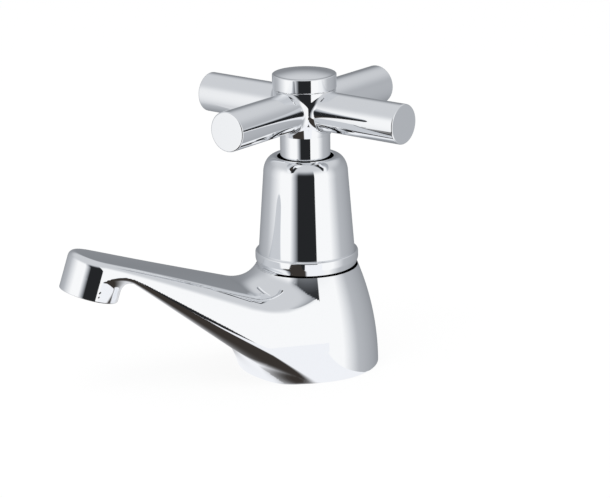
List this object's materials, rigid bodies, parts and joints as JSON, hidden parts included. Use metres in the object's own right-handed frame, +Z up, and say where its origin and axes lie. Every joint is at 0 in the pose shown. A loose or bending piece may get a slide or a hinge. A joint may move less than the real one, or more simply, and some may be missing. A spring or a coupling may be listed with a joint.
{
  "type": "cross handle basin tap",
  "caption": "Chrome basin pillar tap with a cross handle, a tapered shroud, a short rising spout and a threaded tail.",
  "frame": {"origin": "centre of the foot's underside, on the deck, on the tap's upright axis", "axes": "+Z up along the spindle, spout along -Y, +X to the right seen from the spout's side"},
  "size_m": [0.076, 0.1239, 0.151],
  "materials": {
    "body": "polished chrome plate",
    "shroud": "polished chrome plate",
    "cross_handle": "polished chrome plate",
    "index_cap": "polished chrome plate",
    "headwork_body": "turned brass",
    "headwork_gasket": "red fibre",
    "gland_packing": "soft packing",
    "packing_washer": "turned brass",
    "gland_nut": "turned brass",
    "spindle": "turned brass",
    "jumper_valve": "turned brass",
    "tap_washer": "black rubber",
    "jumper_nut": "turned brass",
    "cap_o_ring": "black rubber",
    "handle_screw": "plain steel",
    "screw_washer": "plain steel",
    "flow_straightener": "moulded plastic",
    "straightener_o_ring": "black rubber",
    "inlet_tail": "turned brass",
    "tail_seal": "red fibre",
    "base_gasket": "black foam rubber",
    "deck_washer": "moulded plastic",
    "backnut": "turned brass"
  },
  "bodies": {
    "body": {"body": "body", "shroud": "shroud", "headwork_body": "headwork_body", "headwork_gasket": "headwork_gasket", "gland_packing": "gland_packing", "packing_washer": "packing_washer", "gland_nut": "gland_nut", "flow_straightener": "flow_straightener", "straightener_o_ring": "straightener_o_ring", "inlet_tail": "inlet_tail", "tail_seal": "tail_seal", "base_gasket": "base_gasket", "deck_washer": "deck_washer", "backnut": "backnut"},
    "jumper": {"jumper_valve": "jumper_valve", "tap_washer": "tap_washer", "jumper_nut": "jumper_nut"},
    "handle": {"cross_handle": "cross_handle", "index_cap": "index_cap", "cap_o_ring": "cap_o_ring", "handle_screw": "handle_screw", "screw_washer": "screw_washer", "spindle": "spindle"}
  },
  "joints": [
    {"name": "spindle_rise", "type": "slide", "parent": "body", "child": "jumper", "axis": [0, 0, 1], "range_m": [0, 0.005]},
    {"name": "handle_turn", "type": "hinge", "parent": "jumper", "child": "handle", "pos_m": [0, 0, 0], "axis": [0, 0, 1], "range_deg": [0, 600]}
  ],
  "couplings": [
    {"joint": "spindle_rise", "follows": "handle_turn", "m_per_rad": 0.00047746}
  ]
}
